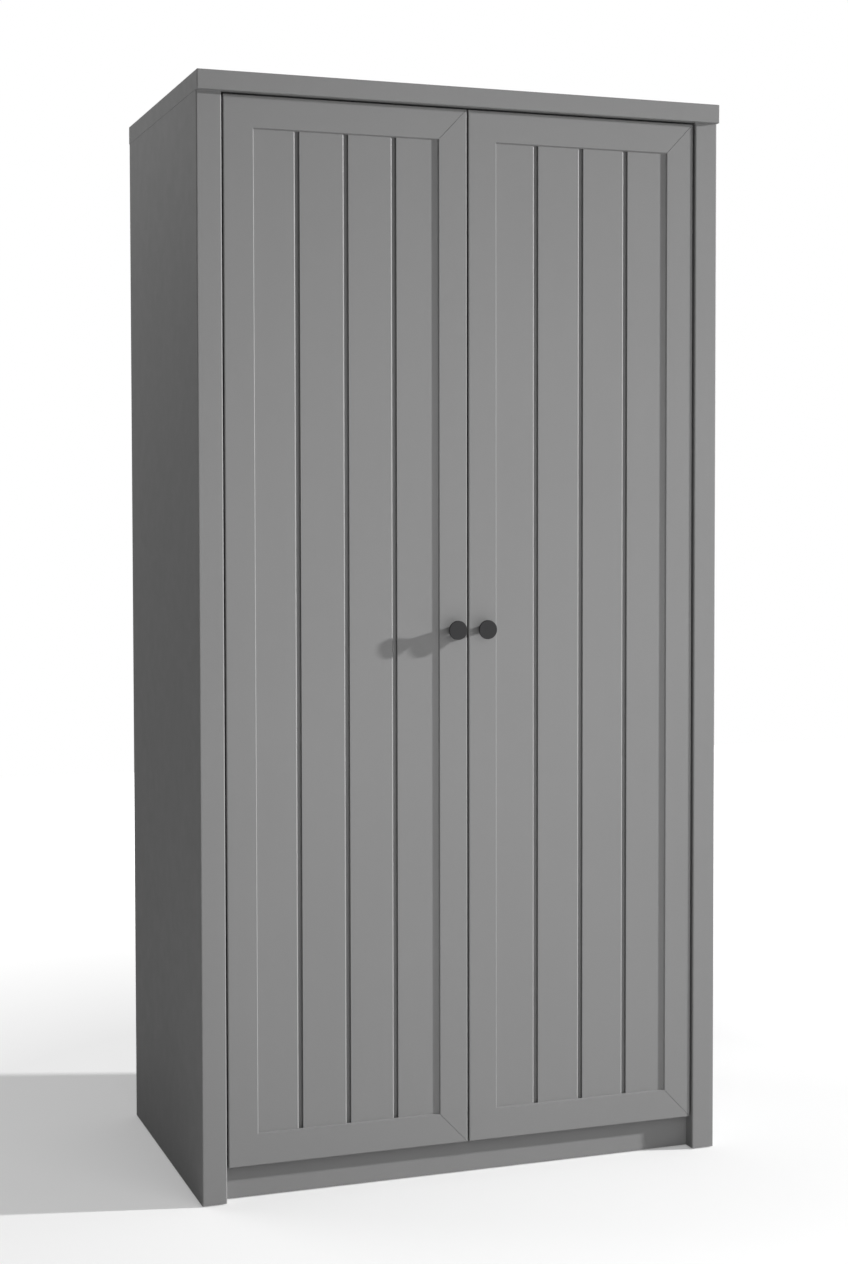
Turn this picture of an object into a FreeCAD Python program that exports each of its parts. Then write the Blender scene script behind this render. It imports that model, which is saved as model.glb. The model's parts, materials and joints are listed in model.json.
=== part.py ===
import FreeCAD, Part
import os
from FreeCAD import Vector

# Free-standing two-door wardrobe, millimetres.  +X right, +Y back, +Z up, floor at z = 0.
# The origin is on the floor, in the middle of the whole object's width and depth.
# Depths (y) below are counted back from the front edges of the side panels.

# ---------------------------------------------------------------- carcass dimensions
WIDTH = 1002.0            # over the side panels
HEIGHT = 1983.0
DEPTH = 576.0             # side panels, front edge to back edge
SIDE_T = 45.0             # thick board-on-frame side panels
TOP_T = 34.0
TOP_FRONT = 10.0          # the top panel stands out in front of the side panels
TOP_SIDE = 0.3            # and just past each side
GLIDE_T = 2.0             # the panels stand on plastic glides
BOARD_T = 18.0
BACK_T = 3.0
EDGE_R = 2.5              # softened upright edges of the side panels
TOP_EDGE_R = 1.5          # softened front and upper edges of the top panel
INNER_EDGE_R = 1.0
CARCASS_FRONT = 25.0      # plinth, bottom panel and top rail start here
PLINTH_H = 60.0
PLINTH_REAR_Y = 532.0
TOP_RAIL_H = 40.0
SHELF_Z = 1650.0
SHELF_FRONT = 45.0
SHELF_END_GAP = 1.0
REBATE_W = 10.0           # step in the side panels that takes the back
BACK_GAP = 0.3            # play round the hardboard
STRIP_W = 24.0            # strip over the joint of the two back halves
STRIP_T = 1.2

# ---------------------------------------------------------------- door dimensions
DOOR_LOW = 63.0
DOOR_T = 18.0
DOOR_INSET = 3.0          # door faces lie behind the side panels' edges
GAP_SIDE = 3.5
GAP_MID = 3.0
GAP_TOP = 3.0
DOOR_EDGE_R = 2.0
STILE_W = 55.0            # over the sloping edge, as is RAIL_W
RAIL_W = 57.7
FRAME_BEVEL = 1.9         # sloping inner edge of the frame
PANEL_INSET = 3.4         # the boards lie this far behind the frame's face
BOARD_PITCH = 89.8
BOARDS = 4
PANEL_T = 12.0
SEAT_GAP = 0.4            # play of the boards in the frame's groove
SQUARE_GAP = 2.4          # joint line to the square edge of the board on its right
BEVEL_GAP = 4.9           # joint line to the bevelled edge of the board on its left
BOARD_BEVEL_W = 3.2
BOARD_BEVEL_D = 2.7
TONGUE_IN = 7.0           # tongue, behind the board's face
TONGUE_T = 3.0
TONGUE_REACH = 6.0        # how far a tongue enters the next board
TONGUE_GAP = 0.2
MITRE_LINE_W = 0.7        # fine open line along the mitres of one stile
MITRE_LINE_D = 1.0

# ---------------------------------------------------------------- knobs
KNOB_X = 28.8
KNOB_Z = 1007.0
KNOB_R = 17.3
KNOB_RIM_T = 4.0
KNOB_HEAD_T = 11.0        # rim and the taper behind it, down to the stem
KNOB_EDGE_R = 0.8
KNOB_STEM_R = 6.5
KNOB_REACH = 28.0
KNOB_SCREW_R = 2.0
KNOB_SCREW_IN = 14.0
KNOB_SCREW_HEAD_T = 2.2

# ---------------------------------------------------------------- hinges
# Reaches are measured from the side panel's inner face towards the middle.
HINGES = 4
HINGE_END = 100.0         # door end to the first cup
CUP_R = 17.5
CUP_DEPTH = 11.5
CUP_WALL = 0.6
CUP_EDGE = 4.65           # door edge to the cup's rim
EAR_T = 1.2
EAR_HALF = 30.0
CUP_SCREW_LIFT = 24.0
CUP_SCREW_SHIFT = 6.0
ARM_PIN = (2.9, 23.63)    # reach and depth of the pin that the link swings on
LINK_BENDS = ((33.91, 32.28), (43.85, 25.96), (37.3, 15.18))
LINK_T = 1.4
LINK_HALF = 4.0
PIN_R = 1.0
PIN_FIT = 0.05
EYE_R = 1.9
ARM_T = 1.2
ARM_HALF = 7.5
ARM_REACH = 11.0
ARM_FRONT = 34.0
ARM_BACK = 96.0
PLATE_T = 1.8
PLATE_SPINE = 9.0         # reach of the raised middle under the arm
PLATE_Y = 61.0
PLATE_SCREW_LIFT = 16.0
ARM_SCREW_Y = (50.0, 78.0)
ARM_SCREW_IN = 5.0
ARM_LIFT = 0.4            # the arm stands this far off the plate
ARM_EDGE_R = 0.8
NOSE_NECK = 3.0           # the nose's lower edge, along the arm from its front
NOSE_FOOT = 5.0
NOSE_BACK = 12.0
WING_HALF_Y = 7.0
WING_HALF_Z = 24.0
SPINE_HALF_Y = 22.0
SPINE_HALF_Z = 6.0
EAR_IN = 12.0             # the ears' reach from the cup's axis, each way
EAR_OUT = 5.0
EAR_EDGE_R = 3.0

# ---------------------------------------------------------------- clothes rail
RAIL_Y = 297.0
RAIL_Z = 1590.0
TUBE_W = 15.0
TUBE_H = 30.0
TUBE_WALL = 1.2
SOCKET_WEB = 2.0
SOCKET_WALL = 2.0
SOCKET_REACH = 14.0
SOCKET_SCREW_LIFT = 22.0
SOCKET_EAR = 13.0

# ---------------------------------------------------------------- fasteners and small parts
CAM_R = 7.5
CAM_T = 12.5
CAM_SETBACK = 34.0        # cam axis to the joint
CAM_CROSS = (5.0, 0.9)    # half length and half width of the driver recess
CAM_CROSS_D = 3.0
BOLT_R = 3.5
BOLT_IN = 11.0            # bolt thread in the mating panel
BOLT_BITE = 2.5           # bolt head inside the cam
DOWEL_R = 4.0
DOWEL_L = 30.0
JOINT_Y = (60.0, 520.0)   # places of cams along the depth
DOWEL_Y = (100.0, 480.0)
SCREW_R = 1.75
SCREW_HEAD_R = 3.5
SCREW_HEAD_T = 1.5
SCREW_IN = 13.0           # screw length in the wood
NAIL_R = 0.7
NAIL_HEAD_R = 2.0
NAIL_HEAD_T = 0.5
NAIL_L = 18.0
NAIL_INSET = 90.0         # first nail, from the floor and from the middle
NAIL_PITCH = 150.0        # along the bottom panel
NAILS_UP_SIDE = 9
NAILS_ALONG_HALF = 3
SHELF_PIN_R = 2.5
SHELF_PIN_OUT = 9.0
SHELF_PIN_IN = 10.0
SHELF_PIN_Y = (100.0, 500.0)
BUMPER_R = 5.0
BUMPER_T = 3.7
BUMPER_X = (40.0, 380.0)
BUMPER_DROP = 20.0        # upper bumpers, below the doors' upper edge
GLIDE_R = 11.0
GLIDE_END = 60.0
MID_GLIDE_END = 150.0
BRACKET_X = 300.0         # wall brackets sit this far from the middle
BRACKET_LEG = 40.0
BRACKET_HALF = 10.0
BRACKET_T = 2.0
BRACKET_SCREW_DROPS = (15.0, 30.0)      # in front of the back
TOP_RAIL_SCREW_X = (-250.0, 0.0, 250.0)
WALL_HOLE_R = 2.75
WALL_HOLE_DROP = 25.0     # wall hole, below the top panel

# ---------------------------------------------------------------- worked-out sizes
FRONT_Y = -(DEPTH - (KNOB_REACH - DOOR_INSET)) / 2
HALF_W = WIDTH / 2
HALF_OPEN = HALF_W - SIDE_T
TOP_Z = HEIGHT - TOP_T
REBATE_Y = DEPTH - BACK_T
FLOOR_Z = GLIDE_T + PLINTH_H
BOTTOM_Z = FLOOR_Z + BOARD_T
RAIL_BACK = CARCASS_FRONT + BOARD_T
DOOR_HIGH = TOP_Z - GAP_TOP
DOOR_W = HALF_OPEN - GAP_SIDE - GAP_MID / 2
DOOR_BACK = DOOR_INSET + DOOR_T
PANEL_FRONT = DOOR_INSET + PANEL_INSET
SEAT = (BOARDS * BOARD_PITCH - (DOOR_W - 2 * STILE_W)) / 2
CUP_U = CUP_EDGE + CUP_R
KNOB_FRONT = DOOR_INSET - KNOB_REACH
HINGE_STEP = (DOOR_HIGH - DOOR_LOW - 2 * HINGE_END) / (HINGES - 1)
HINGE_Z = [DOOR_LOW + HINGE_END + HINGE_STEP * i for i in range(HINGES)]

os.makedirs("parts", exist_ok=True)


# ---------------------------------------------------------------- helpers
def at(x, y, z):
    """Point, with y counted back from the side panels' front edges."""
    return Vector(x, FRONT_Y + y, z)


def block(x, y, z):
    """Box from three (low, high) pairs."""
    return Part.makeBox(x[1] - x[0], y[1] - y[0], z[1] - z[0], at(x[0], y[0], z[0]))


def rod(radius, start, end):
    """Round bar between two points."""
    axis = at(*end) - at(*start)
    return Part.makeCylinder(radius, axis.Length, at(*start), axis)


def upright(points, low, high):
    """Prism on (x, y) corners from z = low to z = high."""
    ring = [at(x, y, low) for x, y in points]
    return Part.Face(Part.makePolygon(ring + ring[:1])).extrude(Vector(0, 0, high - low))


def slab(points, front, back):
    """Prism on (x, z) corners that runs from front to back."""
    ring = [at(x, front, z) for x, z in points]
    return Part.Face(Part.makePolygon(ring + ring[:1])).extrude(Vector(0, back - front, 0))


def level(points, x0, x1):
    """Prism along X on (y, z) corners."""
    ring = [at(x0, y, z) for y, z in points]
    return Part.Face(Part.makePolygon(ring + ring[:1])).extrude(Vector(x1 - x0, 0, 0))


def screw(start, end):
    """Pan-head screw with a round driver recess: head's top at start, tip at end."""
    axis = (at(*end) - at(*start)).normalize()
    length = (at(*end) - at(*start)).Length
    head = Part.makeCylinder(SCREW_HEAD_R, SCREW_HEAD_T, at(*start), axis)
    shank = Part.makeCylinder(SCREW_R, length, at(*start), axis)
    recess = Part.makeCylinder(SCREW_HEAD_R / 3, SCREW_HEAD_T / 2, at(*start), axis)
    return head.fuse(shank).cut(recess)


def softened(shape, radius, chosen):
    """Shape with the edges rounded whose bounding box passes the test."""
    return shape.makeFillet(radius, [edge for edge in shape.Edges if chosen(edge.BoundBox)])


def cut_all(shape, tools):
    """Shape less every one of the tools."""
    return shape.cut(Part.makeCompound(tools))


def mirrored(shape):
    """The same piece on the other side of the middle plane."""
    return shape.mirror(Vector(0, 0, 0), Vector(1, 0, 0))


def both(shapes):
    """The pieces and their mirror images."""
    return shapes + [mirrored(shape) for shape in shapes]


def save(node, shapes):
    """Write one node, a list of separate solids, as a STEP file."""
    solids = [solid for shape in shapes for solid in shape.Solids]
    whole = solids[0] if len(solids) == 1 else Part.makeCompound(solids)
    whole.exportStep("parts/" + node + ".step")


# ---------------------------------------------------------------- fasteners
def wooden_dowels():
    """Dowels: sides to top, sides to bottom panel, plinths and top rail."""
    half = DOWEL_L / 2
    side_x = HALF_W - SIDE_T / 2
    front = CARCASS_FRONT + BOARD_T / 2
    rear = PLINTH_REAR_Y + BOARD_T / 2
    level = [(y, FLOOR_Z + BOARD_T / 2) for y in DOWEL_Y]
    level += [(y, GLIDE_T + PLINTH_H / 2) for y in (front, rear)]
    level += [(front, TOP_Z - TOP_RAIL_H / 2)]
    made = [rod(DOWEL_R, (side_x, y, TOP_Z - half), (side_x, y, TOP_Z + half)) for y in DOWEL_Y]
    made += [rod(DOWEL_R, (HALF_OPEN - half, y, z), (HALF_OPEN + half, y, z)) for y, z in level]
    return both(made)


def cams():
    """Solid cam discs: in the side panels near the top and under the bottom panel."""
    x = HALF_OPEN - CAM_SETBACK
    z = TOP_Z - CAM_SETBACK
    made = [rod(CAM_R, (HALF_OPEN, y, z), (HALF_OPEN + CAM_T, y, z)) for y in JOINT_Y]
    made += [rod(CAM_R, (x, y, FLOOR_Z), (x, y, FLOOR_Z + CAM_T)) for y in JOINT_Y]
    return both(made)


def cam_bolts():
    """Bolts that each cam grips, threaded into the mating panel."""
    upright_x = HALF_OPEN + CAM_T / 2
    level_x = HALF_OPEN - CAM_SETBACK + CAM_R - BOLT_BITE
    z = FLOOR_Z + BOARD_T / 2
    low = TOP_Z - CAM_SETBACK + CAM_R - BOLT_BITE
    made = [rod(BOLT_R, (upright_x, y, low), (upright_x, y, TOP_Z + BOLT_IN)) for y in JOINT_Y]
    made += [rod(BOLT_R, (level_x, y, z), (HALF_OPEN + BOLT_IN, y, z)) for y in JOINT_Y]
    return both(made)


def cam_fasteners():
    """Cam discs, slotted for their bolts, with a cross recess in the open face."""
    made = []
    for disc in cams():
        box = disc.BoundBox
        centre = box.Center
        in_side = centre.z > SHELF_Z
        for a, b in (CAM_CROSS, CAM_CROSS[::-1]):
            if in_side:
                inner = box.XMin if centre.x > 0 else box.XMax - CAM_CROSS_D
                corner = Vector(inner, centre.y - a, centre.z - b)
                arm = Part.makeBox(CAM_CROSS_D, 2 * a, 2 * b, corner)
            else:
                corner = Vector(centre.x - a, centre.y - b, box.ZMin)
                arm = Part.makeBox(2 * a, 2 * b, CAM_CROSS_D, corner)
            disc = disc.cut(arm)
        made.append(cut_all(disc, cam_bolts()))
    return made


def joinery():
    """Everything that sits in drilled holes of the carcass panels."""
    return wooden_dowels() + cams() + cam_bolts()


def top_rail_screws():
    """Screws up through the top front rail into the top panel."""
    y = CARCASS_FRONT + BOARD_T / 2
    low = TOP_Z - TOP_RAIL_H - SCREW_HEAD_T
    return [screw((x, y, low), (x, y, TOP_Z + SCREW_IN)) for x in TOP_RAIL_SCREW_X]


def bracket_screws():
    """Two screws from each wall bracket up into the top panel."""
    low = TOP_Z - BRACKET_T - SCREW_HEAD_T
    places = [REBATE_Y - drop for drop in BRACKET_SCREW_DROPS]
    return both([screw((BRACKET_X, y, low), (BRACKET_X, y, TOP_Z + SCREW_IN)) for y in places])


def socket_screws():
    """Two screws per clothes rail socket, above and below the tube."""
    start = HALF_OPEN - SOCKET_WEB - SCREW_HEAD_T
    places = [RAIL_Z - SOCKET_SCREW_LIFT, RAIL_Z + SOCKET_SCREW_LIFT]
    return both([screw((start, RAIL_Y, z), (HALF_OPEN + SCREW_IN, RAIL_Y, z)) for z in places])


def plate_screws():
    """Two screws per hinge mounting plate, above and below the arm."""
    start = HALF_OPEN - PLATE_T - SCREW_HEAD_T
    places = [z + lift for z in HINGE_Z for lift in (-PLATE_SCREW_LIFT, PLATE_SCREW_LIFT)]
    return both([screw((start, PLATE_Y, z), (HALF_OPEN + SCREW_IN, PLATE_Y, z)) for z in places])


def arm_screws():
    """Adjusting and clamping screw of each hinge arm, right side."""
    start = HALF_OPEN - ARM_REACH - SCREW_HEAD_T
    end = HALF_OPEN - PLATE_SPINE + ARM_SCREW_IN
    return [screw((start, y, z), (end, y, z)) for z in HINGE_Z for y in ARM_SCREW_Y]


def back_panel_nails():
    """Flat-headed nails round the hardboard back."""
    x = HALF_OPEN + REBATE_W / 2
    pitch = (TOP_Z - 2 * NAIL_INSET) / (NAILS_UP_SIDE - 1)
    places = [(x, NAIL_INSET + pitch * i) for i in range(NAILS_UP_SIDE)]
    low = FLOOR_Z + BOARD_T / 2
    places += [(NAIL_INSET + NAIL_PITCH * i, low) for i in range(NAILS_ALONG_HALF)]
    made = []
    for px, pz in places:
        shank = rod(NAIL_R, (px, DEPTH - NAIL_L, pz), (px, DEPTH, pz))
        made.append(shank.fuse(rod(NAIL_HEAD_R, (px, DEPTH - NAIL_HEAD_T, pz), (px, DEPTH, pz))))
    return both(made)


# ---------------------------------------------------------------- carcass
def side_panel():
    """Right side panel, with the step for the back and all blind holes."""
    panel = block((HALF_OPEN, HALF_W), (0, DEPTH), (GLIDE_T, TOP_Z))
    panel = softened(panel, EDGE_R, lambda box: box.ZLength > HEIGHT / 2)
    step = block((HALF_OPEN - 1, HALF_OPEN + REBATE_W), (REBATE_Y, DEPTH + 1), (0, TOP_Z + 1))
    return cut_all(panel, [step] + joinery() + plate_screws() + socket_screws() + shelf_pins())


def top_panel():
    """Top panel, softened at the front and round its upper face."""
    reach = HALF_W + TOP_SIDE
    panel = block((-reach, reach), (-TOP_FRONT, DEPTH), (TOP_Z, HEIGHT))
    face = FRONT_Y - TOP_FRONT + 0.1
    panel = softened(panel, TOP_EDGE_R, lambda box: box.YMax < face or box.ZMin > HEIGHT - 0.1)
    return cut_all(panel, joinery() + bracket_screws() + top_rail_screws())


def across(front, back, low, high, end_gap=0.0):
    """Board between the side panels, its two long front edges softened."""
    x = HALF_OPEN - end_gap
    board = block((-x, x), (front, back), (low, high))
    face = FRONT_Y + front + 1
    return softened(board, INNER_EDGE_R, lambda box: box.XLength > HALF_W and box.YMax < face)


def bottom_panel():
    """Bottom panel between the sides, on the plinth."""
    return cut_all(across(CARCASS_FRONT, REBATE_Y, FLOOR_Z, BOTTOM_Z), joinery())


def plinth(front):
    """Plinth board across the full width."""
    return cut_all(across(front, front + BOARD_T, GLIDE_T, FLOOR_Z), joinery())


def plinth_centre_support():
    """Board from the front plinth to the rear plinth, under the bottom panel's middle."""
    half = BOARD_T / 2
    return block((-half, half), (RAIL_BACK, PLINTH_REAR_Y), (GLIDE_T, FLOOR_Z))


def top_front_rail():
    """Rail under the top panel, behind the doors' top edges."""
    rail = across(CARCASS_FRONT, RAIL_BACK, TOP_Z - TOP_RAIL_H, TOP_Z)
    return cut_all(rail, joinery() + top_rail_screws())


def hat_shelf():
    """Loose shelf above the clothes rail."""
    back = REBATE_Y - STRIP_T - BACK_GAP
    return across(SHELF_FRONT, back, SHELF_Z, SHELF_Z + BOARD_T, SHELF_END_GAP)


def back_panel():
    """Right half of the hardboard back, in the side panel's step."""
    x = (BACK_GAP, HALF_OPEN + REBATE_W - BACK_GAP)
    panel = block(x, (REBATE_Y, DEPTH), (FLOOR_Z, TOP_Z - BACK_GAP))
    z = TOP_Z - WALL_HOLE_DROP
    hole = rod(WALL_HOLE_R, (BRACKET_X, REBATE_Y - 1, z), (BRACKET_X, DEPTH + 1, z))
    return panel.cut(hole)


def back_joint_strip():
    """T-shaped strip over the joint of the two back halves."""
    z = (BOTTOM_Z, TOP_Z - BACK_GAP)
    cover = block((-STRIP_W / 2, STRIP_W / 2), (REBATE_Y - STRIP_T, REBATE_Y), z)
    return cover.fuse(block((-BACK_GAP, BACK_GAP), (REBATE_Y, DEPTH), z)).removeSplitter()


def shelf_pins():
    """Collared steel pins under the hat shelf."""
    z = SHELF_Z - SHELF_PIN_R
    made = []
    for y in SHELF_PIN_Y:
        peg = rod(SHELF_PIN_R, (HALF_OPEN - SHELF_PIN_OUT, y, z), (HALF_OPEN + SHELF_PIN_IN, y, z))
        collar = rod(SHELF_PIN_R + 1, (HALF_OPEN - SHELF_END_GAP / 2, y, z), (HALF_OPEN, y, z))
        made.append(peg.fuse(collar))
    return both(made)


def oval(half_w, half_h, x0, x1):
    """Bar along X of upright oval section, on the clothes rail's axis."""
    straight = half_h - half_w
    y = (RAIL_Y - half_w, RAIL_Y + half_w)
    bar = block((x0, x1), y, (RAIL_Z - straight, RAIL_Z + straight))
    for z in (RAIL_Z - straight, RAIL_Z + straight):
        bar = bar.fuse(rod(half_w, (x0, RAIL_Y, z), (x1, RAIL_Y, z)))
    return bar.removeSplitter()


def clothes_rail():
    """Oval steel tube between the two sockets."""
    x = HALF_OPEN - SOCKET_WEB
    tube = oval(TUBE_W / 2, TUBE_H / 2, -x, x)
    return tube.cut(oval(TUBE_W / 2 - TUBE_WALL, TUBE_H / 2 - TUBE_WALL, -x - 1, x + 1))


def rail_end_sockets():
    """Sockets of the clothes rail: an oval collar on a screwed base."""
    half_w = TUBE_W / 2 + SOCKET_WALL
    half_h = TUBE_H / 2 + SOCKET_WALL
    face = HALF_OPEN - SOCKET_WEB
    collar = oval(half_w, half_h, HALF_OPEN - SOCKET_REACH, HALF_OPEN)
    base = oval(half_w, TUBE_H / 2 + SOCKET_EAR, face, HALF_OPEN)
    hollow = oval(TUBE_W / 2, TUBE_H / 2, HALF_OPEN - SOCKET_REACH - 1, face)
    socket = collar.fuse(base).removeSplitter().cut(hollow)
    return both([cut_all(socket, socket_screws())])


def floor_glides():
    """Round plastic glides under the sides and the centre support."""
    side_x = HALF_W - SIDE_T / 2
    made = both([rod(GLIDE_R, (side_x, y, 0), (side_x, y, GLIDE_T))
                 for y in (GLIDE_END, DEPTH - GLIDE_END)])
    made += [rod(BOARD_T / 3, (0, y, 0), (0, y, GLIDE_T)) for y in (MID_GLIDE_END, DEPTH - MID_GLIDE_END)]
    return [softened(glide, GLIDE_T / 4, lambda box: box.ZMax < GLIDE_T / 4) for glide in made]


def door_bumpers():
    """Thin bumpers where the doors meet the top rail and the bottom panel."""
    places = [(x, z) for x in BUMPER_X for z in (DOOR_HIGH - BUMPER_DROP, FLOOR_Z + BOARD_T / 2)]
    return both([rod(BUMPER_R, (x, CARCASS_FRONT - BUMPER_T, z), (x, CARCASS_FRONT, z))
                 for x, z in places])


def wall_brackets():
    """Angle brackets under the top panel, each with a hole for the wall screw."""
    x = (BRACKET_X - BRACKET_HALF, BRACKET_X + BRACKET_HALF)
    z = TOP_Z - WALL_HOLE_DROP
    flat = block(x, (REBATE_Y - BRACKET_LEG, REBATE_Y), (TOP_Z - BRACKET_T, TOP_Z))
    drop = block(x, (REBATE_Y - BRACKET_T, REBATE_Y), (TOP_Z - BRACKET_LEG, TOP_Z))
    hole = rod(WALL_HOLE_R, (BRACKET_X, REBATE_Y - 5, z), (BRACKET_X, REBATE_Y + 1, z))
    return both([cut_all(flat.fuse(drop).removeSplitter(), [hole] + bracket_screws())])


# ---------------------------------------------------------------- hinges, right side
def about(middle, half):
    """Span of this half width about a middle."""
    return (middle - half, middle + half)


def hinge_point(reach, y, z):
    """Point by its distance from the right side panel's inner face."""
    return at(HALF_OPEN - reach, y, z)


def hinge_prism(points, low, high):
    """Upright prism on (reach, depth) corners."""
    return upright([(HALF_OPEN - reach, y) for reach, y in points], low, high)


def hinge_plates():
    """Mounting plates: a screwed wing with a raised spine under the arm."""
    made = []
    for z in HINGE_Z:
        wing = block((HALF_OPEN - PLATE_T, HALF_OPEN), about(PLATE_Y, WING_HALF_Y),
                     about(z, WING_HALF_Z))
        spine = block((HALF_OPEN - PLATE_SPINE, HALF_OPEN), about(PLATE_Y, SPINE_HALF_Y),
                      about(z, SPINE_HALF_Z))
        made.append(cut_all(wing.fuse(spine).removeSplitter(), plate_screws() + arm_screws()))
    return made


def hinge_arms():
    """Channel arms over the plates, forked at the nose round the link's pin."""
    reach, depth = ARM_PIN
    foot = PLATE_T + ARM_LIFT
    back = ARM_FRONT + NOSE_BACK
    nose = [(reach + EYE_R, depth), (reach - EYE_R, depth), (reach - EYE_R, ARM_FRONT - NOSE_NECK),
            (foot, ARM_FRONT + NOSE_FOOT), (foot, back), (ARM_REACH, back), (ARM_REACH, ARM_FRONT)]
    made = []
    for z in HINGE_Z:
        channel = block((HALF_OPEN - ARM_REACH, HALF_OPEN - foot), (ARM_FRONT, ARM_BACK),
                        about(z, ARM_HALF))
        face = HALF_OPEN - ARM_REACH + 0.1
        half_long = (ARM_BACK - ARM_FRONT) / 2
        channel = softened(channel, ARM_EDGE_R,
                           lambda box: box.YLength > half_long and box.XMax < face)
        cheeks = hinge_prism(nose, z - ARM_HALF, z + ARM_HALF)
        eye = Part.makeCylinder(EYE_R, 2 * ARM_HALF, hinge_point(reach, depth, z - ARM_HALF))
        low, high = z - ARM_HALF + ARM_T, z + ARM_HALF - ARM_T
        under_web = block((HALF_OPEN - ARM_REACH + ARM_T, HALF_OPEN), (0, ARM_BACK + 1), (low, high))
        mouth = block((0, HALF_OPEN), (0, ARM_FRONT), (low, high))
        pin = Part.makeCylinder(PIN_R, 4 * ARM_HALF, hinge_point(reach, depth, z - 2 * ARM_HALF))
        arm = channel.fuse(cheeks).fuse(eye).removeSplitter()
        made.append(cut_all(arm, [under_web, mouth, pin] + arm_screws()))
    return made


def hinge_pins():
    """Pins pressed through the forks of the arms."""
    length = 2 * ARM_HALF + 1
    return [Part.makeCylinder(PIN_R, length, hinge_point(*ARM_PIN, z - length / 2))
            for z in HINGE_Z]


def hinge_links():
    """Bent sheet-metal links that swing on the pins and hook into the cups."""
    joints = [ARM_PIN] + list(LINK_BENDS)
    half = LINK_T / 2
    made = []
    for z in HINGE_Z:
        low, high = z - LINK_HALF, z + LINK_HALF
        link = Part.makeCylinder(EYE_R, high - low, hinge_point(*ARM_PIN, low))
        for start, end in zip(joints, joints[1:]):
            run = Vector(end[0] - start[0], end[1] - start[1], 0).normalize() * half
            edge = [(start[0] - run.y, start[1] + run.x), (end[0] - run.y, end[1] + run.x),
                    (end[0] + run.y, end[1] - run.x), (start[0] + run.y, start[1] - run.x)]
            link = link.fuse(hinge_prism(edge, low, high))
            link = link.fuse(Part.makeCylinder(half, high - low, hinge_point(*end, low)))
        bore = Part.makeCylinder(PIN_R + PIN_FIT, high - low, hinge_point(*ARM_PIN, low))
        made.append(link.removeSplitter().cut(bore))
    return made


def hinge_cups():
    """Round cups let into the hinge stile, with a screw ear above and below."""
    x = door_x(CUP_U)
    floor = DOOR_BACK - CUP_DEPTH
    made = []
    for z in HINGE_Z:
        ears = block((x - EAR_IN, x + EAR_OUT), (DOOR_BACK, DOOR_BACK + EAR_T), about(z, EAR_HALF))
        ears = softened(ears, EAR_EDGE_R, lambda box: box.YLength > EAR_T / 2)
        shell = rod(CUP_R, (x, floor, z), (x, DOOR_BACK, z)).fuse(ears)
        hollow = rod(CUP_R - CUP_WALL, (x, floor + CUP_WALL, z), (x, DOOR_BACK + EAR_T + 1, z))
        made.append(cut_all(shell, [hollow] + cup_screws()))
    return made


def cup_screws():
    """Two screws per cup."""
    x = door_x(CUP_U + CUP_SCREW_SHIFT)
    start = DOOR_BACK + EAR_T + SCREW_HEAD_T
    places = [z + lift for z in HINGE_Z for lift in (-CUP_SCREW_LIFT, CUP_SCREW_LIFT)]
    return [screw((x, start, z), (x, DOOR_BACK - SCREW_IN, z)) for z in places]


# ---------------------------------------------------------------- doors, right side
def door_x(u):
    """X on the right door, u counted from its hinge edge."""
    return HALF_OPEN - GAP_SIDE - u


def mitre_line(u, z):
    """Fine V-cut along the mitre that starts at an outer corner of the frame."""
    run = Vector(-STILE_W if u < DOOR_W / 2 else STILE_W, 0, RAIL_W if z < HEIGHT / 2 else -RAIL_W)
    inward = Vector(run).normalize()
    across_line = Vector(inward.z, 0, -inward.x)
    mouth = across_line * (MITRE_LINE_W / 2 * (MITRE_LINE_D + 1) / MITRE_LINE_D)
    start = at(door_x(u), DOOR_INSET - 1, z)
    ring = [start - mouth, start + mouth, start + Vector(0, MITRE_LINE_D + 1, 0), start - mouth]
    return Part.Face(Part.makePolygon(ring)).extrude(run)


def member_section(width):
    """(inward, depth) corners of a frame member: sloping inner edge, groove for the boards."""
    seat_back = PANEL_FRONT + PANEL_T + SEAT_GAP / 4
    return [(0, DOOR_INSET), (0, DOOR_BACK), (width, DOOR_BACK), (width, seat_back),
            (width - SEAT, seat_back), (width - SEAT, PANEL_FRONT), (width, PANEL_FRONT),
            (width - FRAME_BEVEL, DOOR_INSET)]


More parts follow.
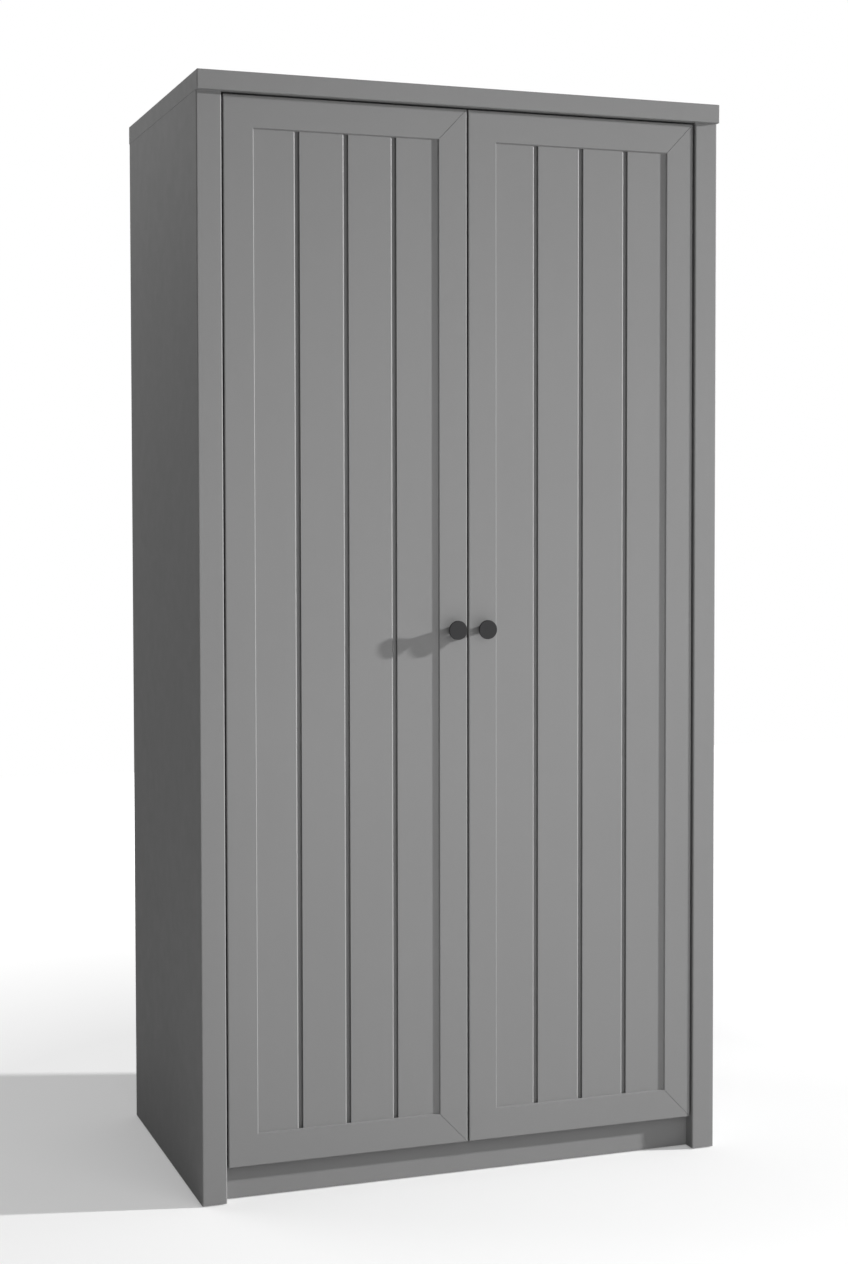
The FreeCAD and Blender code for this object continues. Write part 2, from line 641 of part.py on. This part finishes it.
def frame_members(line_at_hinge):
    """The door frame's four members, mitred from corner to corner."""
    low, high = DOOR_LOW, DOOR_HIGH
    near, far = STILE_W, DOOR_W - STILE_W
    sill, head = low + RAIL_W, high - RAIL_W
    x0, x1 = door_x(DOOR_W), door_x(0)
    stile, rail = member_section(STILE_W), member_section(RAIL_W)
    members = {
        "hinge_stile": (upright([(x1 - w, y) for w, y in stile], low, high),
                        lambda box: box.XMin > x1 - 0.1,
                        [(0, low), (near, sill), (near, head), (0, high)]),
        "meeting_stile": (upright([(x0 + w, y) for w, y in stile], low, high),
                          lambda box: box.XMax < x0 + 0.1,
                          [(DOOR_W, low), (far, sill), (far, head), (DOOR_W, high)]),
        "bottom_rail": (level([(y, low + w) for w, y in rail], x0, x1),
                        lambda box: box.ZMax < low + 0.1,
                        [(0, low), (near, sill), (far, sill), (DOOR_W, low)]),
        "top_rail": (level([(y, high - w) for w, y in rail], x0, x1),
                     lambda box: box.ZMin > high - 0.1,
                     [(0, high), (near, head), (far, head), (DOOR_W, high)]),
    }
    u = 0 if line_at_hinge else DOOR_W
    tools = [mitre_line(u, low), mitre_line(u, high)] + cup_screws() + knob_screw()
    tools += [rod(CUP_R, (door_x(CUP_U), DOOR_BACK - CUP_DEPTH, z),
                  (door_x(CUP_U), DOOR_BACK + 1, z)) for z in HINGE_Z]
    face = FRONT_Y + DOOR_INSET + 0.1
    made = {}
    for name, (bar, outer, ring) in members.items():
        bar = softened(bar, DOOR_EDGE_R, lambda box: outer(box) and box.YMax < face)
        corners = slab([(door_x(place), z) for place, z in ring], DOOR_INSET, DOOR_BACK)
        made[name] = cut_all(bar.common(corners), tools)
    return made


def door_board(index, on_right):
    """One tongue-and-groove board; the outer ones end plain in the frame.

    Seen from the front, every groove has its bevel on the left on both doors.
    """
    start = STILE_W - SEAT + BOARD_PITCH * index
    end = start + BOARD_PITCH
    front, back = PANEL_FRONT, PANEL_FRONT + PANEL_T
    tongue = (front + TONGUE_IN, front + TONGUE_IN + TONGUE_T)
    bevelled = (BEVEL_GAP, BOARD_BEVEL_W, BOARD_BEVEL_D)
    square = (SQUARE_GAP, 0.0, 0.0)
    first, last = (bevelled, square) if on_right else (square, bevelled)
    if index == 0:
        ring = [(start + SEAT_GAP, back), (start + SEAT_GAP, front)]
    else:
        a = start + first[0]
        deep = a + TONGUE_REACH + TONGUE_GAP
        ring = [(a, back), (a, tongue[1] + TONGUE_GAP), (deep, tongue[1] + TONGUE_GAP),
                (deep, tongue[0] - TONGUE_GAP), (a, tongue[0] - TONGUE_GAP), (a, front + first[2])]
        ring += [(a + first[1], front)] if first[1] else []
    if index == BOARDS - 1:
        ring += [(end - SEAT_GAP, front), (end - SEAT_GAP, back)]
    else:
        b = end - last[0]
        tip = end + first[0] + TONGUE_REACH
        ring += [(b - last[1], front)] if last[1] else []
        ring += [(b, front + last[2]), (b, tongue[0]), (tip, tongue[0]), (tip, tongue[1]),
                 (b, tongue[1]), (b, back)]
    low = DOOR_LOW + RAIL_W - SEAT + SEAT_GAP
    high = DOOR_HIGH - RAIL_W + SEAT - SEAT_GAP
    return upright([(door_x(u), y) for u, y in ring], low, high)


def knob():
    """Turned knob: flat round head that tapers to a slim stem, tapped for its screw."""
    rim_back = KNOB_FRONT + KNOB_RIM_T
    head_back = KNOB_FRONT + KNOB_HEAD_T
    head = rod(KNOB_R, (KNOB_X, KNOB_FRONT, KNOB_Z), (KNOB_X, rim_back, KNOB_Z))
    head = softened(head, KNOB_EDGE_R, lambda box: box.XLength > KNOB_R)
    taper = Part.makeCone(KNOB_R - KNOB_EDGE_R, KNOB_STEM_R, KNOB_HEAD_T - KNOB_RIM_T,
                          at(KNOB_X, rim_back, KNOB_Z), Vector(0, 1, 0))
    stem = rod(KNOB_STEM_R, (KNOB_X, head_back, KNOB_Z), (KNOB_X, DOOR_INSET, KNOB_Z))
    return cut_all(head.fuse(taper).fuse(stem), knob_screw())


def knob_screw():
    """Machine screw through the meeting stile into the knob."""
    tip = DOOR_INSET - KNOB_SCREW_IN
    shank = rod(KNOB_SCREW_R, (KNOB_X, tip, KNOB_Z), (KNOB_X, DOOR_BACK + 1, KNOB_Z))
    head = rod(2 * KNOB_SCREW_R, (KNOB_X, DOOR_BACK, KNOB_Z), (KNOB_X, DOOR_BACK + KNOB_SCREW_HEAD_T, KNOB_Z))
    return [shank.fuse(head)]


def save_door(side, place):
    """Write all nodes of one door; place puts a right-hand shape on its side."""
    members = frame_members(line_at_hinge=side == "right")
    for name, shape in members.items():
        save(side + "_door_" + name, [place(shape)])
    for i in range(BOARDS):
        save(side + "_door_board_" + str(i + 1), [place(door_board(i, side == "right"))])
    groups = {"hinge_cups": hinge_cups(), "cup_screws": cup_screws(), "knob": [knob()],
              "knob_screw": knob_screw(), "hinge_links": hinge_links()}
    for name, shapes in groups.items():
        save(side + "_" + name, [place(shape) for shape in shapes])


def save_hinge_mounts(side, place):
    """Write the carcass half of one door's hinges."""
    groups = {"hinge_plates": hinge_plates(), "hinge_arms": hinge_arms(),
              "hinge_pins": hinge_pins()}
    for name, shapes in groups.items():
        save(side + "_" + name, [place(shape) for shape in shapes])


# ---------------------------------------------------------------- all nodes
save("side_panel_left", [mirrored(side_panel())])
save("side_panel_right", [side_panel()])
save("top_panel", [top_panel()])
save("bottom_panel", [bottom_panel()])
save("top_front_rail", [top_front_rail()])
save("plinth_front", [plinth(CARCASS_FRONT)])
save("plinth_rear", [plinth(PLINTH_REAR_Y)])
save("plinth_centre_support", [plinth_centre_support()])
save("hat_shelf", [hat_shelf()])
save("back_panel_left", [mirrored(back_panel())])
save("back_panel_right", [back_panel()])
save("back_joint_strip", [back_joint_strip()])
save("clothes_rail", [clothes_rail()])
save("rail_end_sockets", rail_end_sockets())
save("shelf_pins", shelf_pins())
save("floor_glides", floor_glides())
save("door_bumpers", door_bumpers())
save("wall_brackets", wall_brackets())
save("wooden_dowels", wooden_dowels())
save("cam_fasteners", cam_fasteners())
save("cam_bolts", cam_bolts())
save("top_rail_screws", top_rail_screws())
save("bracket_screws", bracket_screws())
save("socket_screws", socket_screws())
save("plate_screws", plate_screws())
save("arm_screws", both(arm_screws()))
save("back_panel_nails", back_panel_nails())
for side_name, put in (("left", mirrored), ("right", lambda shape: shape)):
    save_hinge_mounts(side_name, put)
    save_door(side_name, put)
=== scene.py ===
# Materials, floor, light and camera for the two-door wardrobe, around its fixed frame.
# Metres, +X right, +Y back, +Z up, floor at z = 0.
import json
import math

import bpy
from mathutils import Matrix, Vector

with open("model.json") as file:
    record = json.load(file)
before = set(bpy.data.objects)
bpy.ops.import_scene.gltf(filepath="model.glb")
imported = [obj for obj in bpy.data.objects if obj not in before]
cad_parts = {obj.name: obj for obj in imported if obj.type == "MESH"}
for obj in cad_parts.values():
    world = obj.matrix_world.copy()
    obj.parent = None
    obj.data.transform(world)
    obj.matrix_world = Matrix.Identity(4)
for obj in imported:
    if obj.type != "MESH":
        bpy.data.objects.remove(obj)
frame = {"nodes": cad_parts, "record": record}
nodes = frame["nodes"]
scene = bpy.context.scene
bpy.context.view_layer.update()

# ---------------------------------------------------------------- view
EYE = Vector((-1.3179, -3.7534, 1.2391))
YAW = math.radians(19.494)        # to the right of straight ahead
PITCH = math.radians(-2.228)
ROLL = math.radians(-0.102)
LENS = 58.29                      # millimetres, as is SENSOR
SENSOR = 36.0
SHIFT_X = 0.0003
SHIFT_Y = -0.0401
SIGHT = 200.0                     # the camera sees this far

# ---------------------------------------------------------------- light
KEY_FROM = Vector((0.938, -0.236, 0.252))    # towards the key light
KEY_AIM = Vector((0.0, -0.27, 1.0))
KEY_AWAY = 11.0
KEY_ACROSS = 0.36
KEY_WATTS = 2320.0
ROOM_ALL = 0.02                   # light of the white room from everywhere
ROOM_UP = 0.33                    # and its ceiling, strongest straight overhead
ROOM_UP_POWER = 4.0
ROOM_RIGHT = 0.20
ROOM_BACK = 0.36
ROOM_SIDE_POWER = 1.0
FRONT_AT = Vector((0.05, -1.9, 1.05))
FRONT_AIM = Vector((0.0, -0.3, 1.02))
FRONT_WATTS = 16.5
LEFT_AT = Vector((-1.9, 1.3, 2.8))
LEFT_AIM = Vector((-0.5, 0.0, 1.8))
LEFT_WATTS = 21.5
BOX_ACROSS = 1.6

# ---------------------------------------------------------------- floor
FLOOR_REACH = 5.5
FLOOR_TONE = 0.65
FLOOR_DRIFT = 0.003               # how much darker its faint clouds are
FLOOR_CLOUDS = 1.5                # features per metre, as for every scale below
FLOOR_ROUGH = 0.9
FLOOR_NEAR_PAINTED_GLOW = 0.23            # painted light: a camera-only glow that lifts the floor and the wardrobe's cast shadow near it; further off the floor runs into the white backdrop
FLOOR_FAR_GLOW = 1.15
GLOW_FROM = 1.0
GLOW_FULL = 4.4

# ---------------------------------------------------------------- colours and surfaces
GREY = (0.205, 0.205, 0.205)
BLACK = (0.024, 0.024, 0.025)
NICKEL = (0.66, 0.65, 0.62)
ZINC_PLATE = (0.62, 0.61, 0.58)
STEEL = (0.6, 0.6, 0.6)
BEECH = (0.62, 0.43, 0.25)

NOISE_LOW = 0.3                   # the share of the noise that is spread over a range
NOISE_HIGH = 0.7
ROUGH_SPREAD = 0.1                # from the smoothest to the roughest spot

PAINT_CLOUDS = 2.3
PAINT_DRIFT = 0.015               # lighter and darker than its colour
PAINT_PEEL = 420.0
PAINT_GRIT = 2600.0
GRIT_SHARE = 0.35
PAINT_SHEEN_SPOTS = 35.0
PAINT_RELIEF = 0.00006
PAINT_SPECULAR = 0.15

METAL_MARKS = 900.0
METAL_RELIEF = 0.00001
CAST_RELIEF = 0.00004
PLASTIC_GRAIN = 1800.0
PLASTIC_RELIEF = 0.00003

HARDBOARD_FIBRES = 240.0
HARDBOARD_PATCHES = 9.0
PATCH_SHARE = 0.25
HARDBOARD_RELIEF = 0.00012

BEECH_PORES = 700.0
BEECH_ALONG = 0.12                # the grain is stretched along the dowel
BEECH_RELIEF = 0.00008


# ---------------------------------------------------------------- node helpers
def new_material(name):
    """Empty node material with a Principled shader joined to its output."""
    material = bpy.data.materials.new(name)
    material.use_nodes = True
    tree = material.node_tree
    tree.nodes.clear()
    shader = tree.nodes.new("ShaderNodeBsdfPrincipled")
    output = tree.nodes.new("ShaderNodeOutputMaterial")
    tree.links.new(shader.outputs["BSDF"], output.inputs["Surface"])
    return material, tree, shader


def place(tree, stretch=(1, 1, 1)):
    """Object coordinates in metres, stretched along the axes."""
    coords = tree.nodes.new("ShaderNodeTexCoord")
    mapping = tree.nodes.new("ShaderNodeMapping")
    mapping.inputs["Scale"].default_value = stretch
    tree.links.new(coords.outputs["Object"], mapping.inputs["Vector"])
    return mapping.outputs["Vector"]


def noise(tree, where, scale, detail=2.0, roughness=0.5):
    """Noise value, features per metre."""
    node = tree.nodes.new("ShaderNodeTexNoise")
    node.inputs["Scale"].default_value = scale
    node.inputs["Detail"].default_value = detail
    node.inputs["Roughness"].default_value = roughness
    tree.links.new(where, node.inputs["Vector"])
    return node.outputs["Fac"]


def ramp(tree, value, low, high):
    """Noise value spread over the range from low to high."""
    node = tree.nodes.new("ShaderNodeMapRange")
    node.inputs["From Min"].default_value = NOISE_LOW
    node.inputs["From Max"].default_value = NOISE_HIGH
    node.inputs["To Min"].default_value = low
    node.inputs["To Max"].default_value = high
    tree.links.new(value, node.inputs["Value"])
    return node.outputs["Result"]


def tint(tree, value, dark, light):
    """Colour between dark and light by a noise value."""
    node = tree.nodes.new("ShaderNodeValToRGB")
    node.color_ramp.elements[0].position = NOISE_LOW
    node.color_ramp.elements[1].position = NOISE_HIGH
    node.color_ramp.elements[0].color = (*dark, 1)
    node.color_ramp.elements[1].color = (*light, 1)
    tree.links.new(value, node.inputs["Fac"])
    return node.outputs["Color"]


def bump(tree, shader, height, depth):
    """Surface relief of this depth in metres."""
    node = tree.nodes.new("ShaderNodeBump")
    node.inputs["Strength"].default_value = 1.0
    node.inputs["Distance"].default_value = depth
    tree.links.new(height, node.inputs["Height"])
    tree.links.new(node.outputs["Normal"], shader.inputs["Normal"])


def mixed(tree, a, b, share):
    """Height a with a share of height b added."""
    node = tree.nodes.new("ShaderNodeMath")
    node.operation = "MULTIPLY_ADD"
    node.inputs[1].default_value = share
    tree.links.new(b, node.inputs[0])
    tree.links.new(a, node.inputs[2])
    return node.outputs[0]


def shade(colour, factor):
    """Colour made lighter or darker."""
    return tuple(c * factor for c in colour)


# ---------------------------------------------------------------- materials
def paint(name, colour, rough=(0.56, 0.64)):
    """Sprayed matt paint: slight tone drift, fine orange peel, uneven sheen."""
    material, tree, shader = new_material(name)
    where = place(tree)
    clouds = noise(tree, where, PAINT_CLOUDS, detail=3.0)
    dark, light = shade(colour, 1 - PAINT_DRIFT), shade(colour, 1 + PAINT_DRIFT)
    tree.links.new(tint(tree, clouds, dark, light), shader.inputs["Base Color"])
    peel = noise(tree, where, PAINT_PEEL, detail=2.0)
    grit = noise(tree, where, PAINT_GRIT, detail=1.0)
    spots = noise(tree, where, PAINT_SHEEN_SPOTS, detail=4.0)
    tree.links.new(ramp(tree, spots, *rough), shader.inputs["Roughness"])
    bump(tree, shader, mixed(tree, peel, grit, GRIT_SHARE), PAINT_RELIEF)
    shader.inputs["Specular IOR Level"].default_value = PAINT_SPECULAR
    return material


def metal(name, colour, rough, brushed=(1, 1, 1), relief=METAL_RELIEF):
    """Plated or cast metal with fine drawn or sandy marks."""
    material, tree, shader = new_material(name)
    where = place(tree, brushed)
    marks = noise(tree, where, METAL_MARKS, detail=3.0)
    dark, light = shade(colour, 0.9), shade(colour, 1.05)
    tree.links.new(tint(tree, marks, dark, light), shader.inputs["Base Color"])
    tree.links.new(ramp(tree, marks, rough, rough + ROUGH_SPREAD), shader.inputs["Roughness"])
    bump(tree, shader, marks, relief)
    shader.inputs["Metallic"].default_value = 1.0
    return material


def plastic(name, colour, rough=0.5):
    """Moulded plastic with a fine eroded texture."""
    material, tree, shader = new_material(name)
    where = place(tree)
    grain = noise(tree, where, PLASTIC_GRAIN, detail=2.0)
    dark, light = shade(colour, 0.94), shade(colour, 1.05)
    tree.links.new(tint(tree, grain, dark, light), shader.inputs["Base Color"])
    tree.links.new(ramp(tree, grain, rough, rough + ROUGH_SPREAD), shader.inputs["Roughness"])
    bump(tree, shader, grain, PLASTIC_RELIEF)
    return material


def hardboard(name, colour):
    """Grey-printed hardboard: pressed fibres under a thin print."""
    material, tree, shader = new_material(name)
    where = place(tree)
    fibres = noise(tree, where, HARDBOARD_FIBRES, detail=6.0, roughness=0.7)
    patches = noise(tree, where, HARDBOARD_PATCHES, detail=3.0)
    print_tone = mixed(tree, fibres, patches, PATCH_SHARE)
    dark, light = shade(colour, 0.86), shade(colour, 1.1)
    tree.links.new(tint(tree, print_tone, dark, light), shader.inputs["Base Color"])
    tree.links.new(ramp(tree, fibres, low=0.62, high=0.78), shader.inputs["Roughness"])
    bump(tree, shader, fibres, HARDBOARD_RELIEF)
    return material


def beech(name, colour):
    """Beech: pores and grain that run along the dowel."""
    material, tree, shader = new_material(name)
    where = place(tree, (BEECH_ALONG, 1, 1))
    grain = noise(tree, where, BEECH_PORES, detail=4.0)
    dark, light = shade(colour, 0.75), shade(colour, 1.1)
    tree.links.new(tint(tree, grain, dark, light), shader.inputs["Base Color"])
    tree.links.new(ramp(tree, grain, low=0.6, high=0.75), shader.inputs["Roughness"])
    bump(tree, shader, grain, BEECH_RELIEF)
    return material


SLOT_MATERIALS = {
    "grey_paint": paint("grey_paint", GREY),
    "inner_foil": paint("inner_foil", GREY, (0.45, 0.52)),
    "back_hardboard": hardboard("back_hardboard", shade(GREY, 1.05)),
    "knob_paint": paint("knob_paint", BLACK, (0.42, 0.5)),
    "hinge_nickel": metal("hinge_nickel", NICKEL, 0.22, brushed=(1, 1, 0.1)),
    "pin_steel": metal("pin_steel", STEEL, 0.25),
    "screw_steel": metal("screw_steel", ZINC_PLATE, 0.3),
    "cam_zinc": metal("cam_zinc", (0.5, 0.5, 0.5), 0.45, relief=CAST_RELIEF),
    "bolt_steel": metal("bolt_steel", (0.6, 0.6, 0.58), 0.3),
    "dowel_beech": beech("dowel_beech", BEECH),
    "nail_steel": metal("nail_steel", (0.55, 0.55, 0.55), 0.35),
    "strip_plastic": plastic("strip_plastic", shade(GREY, 1.1)),
    "rail_chrome": metal("rail_chrome", (0.78, 0.78, 0.79), 0.08, brushed=(0.05, 1, 1),
                         relief=0.000003),
    "socket_zinc": metal("socket_zinc", STEEL, 0.4, relief=0.00003),
    "glide_plastic": plastic("glide_plastic", (0.04, 0.04, 0.04)),
    "bumper_plastic": plastic("bumper_plastic", (0.72, 0.72, 0.70), 0.3),
    "bracket_paint": metal("bracket_paint", STEEL, 0.35),
}


def dress_nodes():
    """Give every CAD node the material of its slot."""
    for part in frame["record"]["subparts"]:
        node = nodes[part["node"]]
        node.data.materials.clear()
        node.data.materials.append(SLOT_MATERIALS[part["material_slot"]])


# ---------------------------------------------------------------- stage
def build_floor():
    """Large pale floor with painted light: a glow that only the camera sees, which lifts the
    floor and the wardrobe's shadow on it nearby and grows with distance into the white backdrop.
    """
    mesh = bpy.data.meshes.new("floor")
    r = FLOOR_REACH
    mesh.from_pydata([(-r, -r, 0), (r, -r, 0), (r, r, 0), (-r, r, 0)], [], [(0, 1, 2, 3)])
    floor = bpy.data.objects.new("floor", mesh)
    scene.collection.objects.link(floor)
    material, tree, shader = new_material("floor_paper")
    clouds = noise(tree, place(tree), FLOOR_CLOUDS, detail=2.0)
    tone = (FLOOR_TONE, FLOOR_TONE, FLOOR_TONE)
    dark = shade(tone, 1 - FLOOR_DRIFT)
    tree.links.new(tint(tree, clouds, dark, tone), shader.inputs["Base Color"])
    shader.inputs["Roughness"].default_value = FLOOR_ROUGH
    shader.inputs["Specular IOR Level"].default_value = 0.0
    away = tree.nodes.new("ShaderNodeVectorMath")
    away.operation = "LENGTH"
    tree.links.new(place(tree), away.inputs[0])
    # painted light: camera-only glow that lightens the cast shadow near the wardrobe and whitens
    # the far floor
    glow = tree.nodes.new("ShaderNodeMapRange")
    glow.inputs["From Min"].default_value = GLOW_FROM
    glow.inputs["From Max"].default_value = GLOW_FULL
    glow.inputs["To Min"].default_value = FLOOR_NEAR_PAINTED_GLOW
    glow.inputs["To Max"].default_value = FLOOR_FAR_GLOW
    tree.links.new(away.outputs["Value"], glow.inputs["Value"])
    shader.inputs["Emission Color"].default_value = (1, 1, 1, 1)
    seen = tree.nodes.new("ShaderNodeLightPath")
    shown = tree.nodes.new("ShaderNodeMath")
    shown.operation = "MULTIPLY"
    tree.links.new(glow.outputs["Result"], shown.inputs[0])
    tree.links.new(seen.outputs["Is Camera Ray"], shown.inputs[1])
    tree.links.new(shown.outputs[0], shader.inputs["Emission Strength"])
    mesh.materials.append(material)


def aim(obj, direction):
    """Turn an object's -Z axis along a direction."""
    obj.rotation_euler = direction.to_track_quat("-Z", "Y").to_euler()


def softbox(name, where, target, watts):
    """Large soft light that the camera doesn't see."""
    light = bpy.data.lights.new(name, "AREA")
    light.shape = "SQUARE"
    light.size = BOX_ACROSS
    light.energy = watts
    box = bpy.data.objects.new(name, light)
    scene.collection.objects.link(box)
    box.location = where
    box.visible_camera = False
    aim(box, target - where)


def room_strength(tree):
    """Strength of the room's light by its direction."""
    coords = tree.nodes.new("ShaderNodeTexCoord")
    split = tree.nodes.new("ShaderNodeSeparateXYZ")
    tree.links.new(coords.outputs["Generated"], split.inputs["Vector"])
    total = None
    for axis, power, share in (("Z", ROOM_UP_POWER, ROOM_UP), ("X", ROOM_SIDE_POWER, ROOM_RIGHT),
                               ("Y", ROOM_SIDE_POWER, ROOM_BACK)):
        side = tree.nodes.new("ShaderNodeMath")
        side.operation = "MAXIMUM"
        side.inputs[1].default_value = 0.0
        lobe = tree.nodes.new("ShaderNodeMath")
        lobe.operation = "POWER"
        lobe.inputs[1].default_value = power
        add = tree.nodes.new("ShaderNodeMath")
        add.operation = "MULTIPLY_ADD"
        add.inputs[1].default_value = share
        add.inputs[2].default_value = ROOM_ALL
        tree.links.new(split.outputs[axis], side.inputs[0])
        tree.links.new(side.outputs[0], lobe.inputs[0])
        tree.links.new(lobe.outputs[0], add.inputs[0])
        if total:
            tree.links.new(total, add.inputs[2])
        total = add.outputs[0]
    return total


def build_lights():
    """A small far key light, two soft boxes, and light from a room that the camera sees white."""
    light = bpy.data.lights.new("key", "AREA")
    light.shape = "DISK"
    light.size = KEY_ACROSS
    light.energy = KEY_WATTS
    key = bpy.data.objects.new("key", light)
    scene.collection.objects.link(key)
    key.location = KEY_AIM + KEY_FROM.normalized() * KEY_AWAY
    aim(key, -KEY_FROM)

    softbox("front_box", FRONT_AT, FRONT_AIM, FRONT_WATTS)
    softbox("left_box", LEFT_AT, LEFT_AIM, LEFT_WATTS)

    world = bpy.data.worlds.new("room")
    scene.world = world
    world.use_nodes = True
    tree = world.node_tree
    tree.nodes.clear()
    seen = tree.nodes.new("ShaderNodeLightPath")
    lit = tree.nodes.new("ShaderNodeBackground")
    lit.inputs["Color"].default_value = (1, 1, 1, 1)
    tree.links.new(room_strength(tree), lit.inputs["Strength"])
    shown = tree.nodes.new("ShaderNodeBackground")
    shown.inputs["Color"].default_value = (1, 1, 1, 1)
    mix = tree.nodes.new("ShaderNodeMixShader")
    output = tree.nodes.new("ShaderNodeOutputWorld")
    tree.links.new(seen.outputs["Is Camera Ray"], mix.inputs["Fac"])
    tree.links.new(lit.outputs["Background"], mix.inputs[1])
    tree.links.new(shown.outputs["Background"], mix.inputs[2])
    tree.links.new(mix.outputs["Shader"], output.inputs["Surface"])


def build_camera():
    """Camera at the reference viewing angle."""
    data = bpy.data.cameras.new("camera")
    data.lens = LENS
    data.sensor_width = SENSOR
    data.shift_x = SHIFT_X
    data.shift_y = SHIFT_Y
    data.clip_end = SIGHT
    camera = bpy.data.objects.new("camera", data)
    scene.collection.objects.link(camera)
    ahead = Vector((math.sin(YAW) * math.cos(PITCH), math.cos(YAW) * math.cos(PITCH),
                    math.sin(PITCH)))
    right = ahead.cross(Vector((0, 0, 1))).normalized()
    up = right.cross(ahead)
    side = right * math.cos(ROLL) + up * math.sin(ROLL)
    top = side.cross(ahead)
    turn = Matrix((side, top, -ahead)).transposed()
    camera.matrix_world = Matrix.Translation(EYE) @ turn.to_4x4()
    scene.camera = camera


dress_nodes()
build_floor()
build_lights()
build_camera()
scene.view_settings.view_transform = "Standard"
